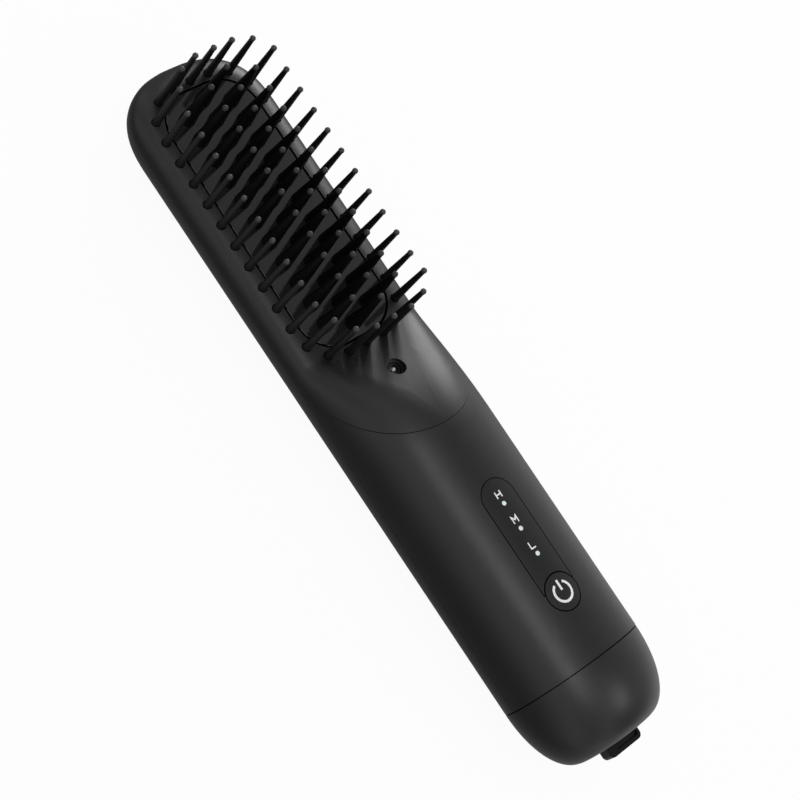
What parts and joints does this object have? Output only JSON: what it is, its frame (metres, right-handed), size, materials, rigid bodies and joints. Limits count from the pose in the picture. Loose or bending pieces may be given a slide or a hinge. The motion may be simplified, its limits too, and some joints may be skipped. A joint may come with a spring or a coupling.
{
  "type": "hot comb",
  "caption": "Cordless hot comb: oval handle with push button and indicator lamps, and a flat head whose heated comb plate is ringed by guard pins.",
  "frame": {"origin": "centre of the bounding box at its bottom, which is the flat of the back", "axes": "+X across the comb, +Y from the charging end to the tip of the head, +Z out of the bristle side"},
  "size_m": [0.0402, 0.1954, 0.035],
  "materials": {
    "shell_plastic": "fine moulded texture, satin",
    "button_plastic": "satin",
    "panel_plastic": "smooth, semi-gloss",
    "mark_white": "printed white",
    "pin_nylon": "satin black with pale rounded tips",
    "plate_coating": "ceramic coated, satin",
    "tooth_coating": "ceramic coated, glossy",
    "port_rubber": "matte",
    "screw_steel": "zinc plated",
    "light_guide": "frosted clear",
    "tray_resin": "heat-resistant resin, matte",
    "ceramic": "sintered ceramic",
    "sheet_aluminium": "milled",
    "film_amber": "thin polyimide film",
    "board_green": "solder mask",
    "chip_black": "moulded epoxy",
    "lamp_white": "clear resin on white",
    "fuse_glaze": "glazed",
    "cell_wrap": "shrink film over a metal can",
    "nickel_strip": "nickel, bright",
    "foam": "closed-cell foam",
    "cradle_plastic": "moulded",
    "socket_steel": "plated shell",
    "lead_red": "insulated lead"
  },
  "bodies": {
    "handle": {"rear_shell": "shell_plastic", "handle_front_shell": "shell_plastic", "head_cover": "shell_plastic", "end_cap": "shell_plastic", "control_panel": "panel_plastic", "heat_letters": "mark_white", "guard_pins": "pin_nylon", "pin_ring": "pin_nylon", "heating_plate": "plate_coating", "heated_teeth": "tooth_coating", "neck_screw": "screw_steel", "tray_screws": "screw_steel", "board_screws": "screw_steel", "light_pipe_low": "light_guide", "light_pipe_medium": "light_guide", "light_pipe_high": "light_guide", "heater_tray": "tray_resin", "ptc_heater": "ceramic", "clamp_plate": "sheet_aluminium", "heater_electrodes": "sheet_aluminium", "insulating_film": "film_amber", "control_board": "board_green", "charge_board": "board_green", "control_chips": "chip_black", "tact_switch": "chip_black", "indicator_leds": "lamp_white", "thermal_fuse": "fuse_glaze", "temperature_sensor": "fuse_glaze", "battery_cell": "cell_wrap", "battery_tabs": "nickel_strip", "battery_foam": "foam", "battery_cradle": "cradle_plastic", "usb_socket": "socket_steel", "heater_leads": "lead_red", "charge_leads": "lead_red", "battery_leads": "lead_red"},
    "power_button": {"power_button": "button_plastic", "power_icon": "mark_white", "switch_plunger": "chip_black"},
    "port_plug": {"port_plug": "port_rubber"}
  },
  "joints": [
    {"name": "button_press", "type": "slide", "parent": "handle", "child": "power_button", "axis": [0, 0, -1], "range_m": [0, 0.0004], "stiffness_N_per_m": 800},
    {"name": "plug_pull", "type": "slide", "parent": "handle", "child": "port_plug", "axis": [0, -1, 0], "range_m": [0, 0.008]}
  ]
}
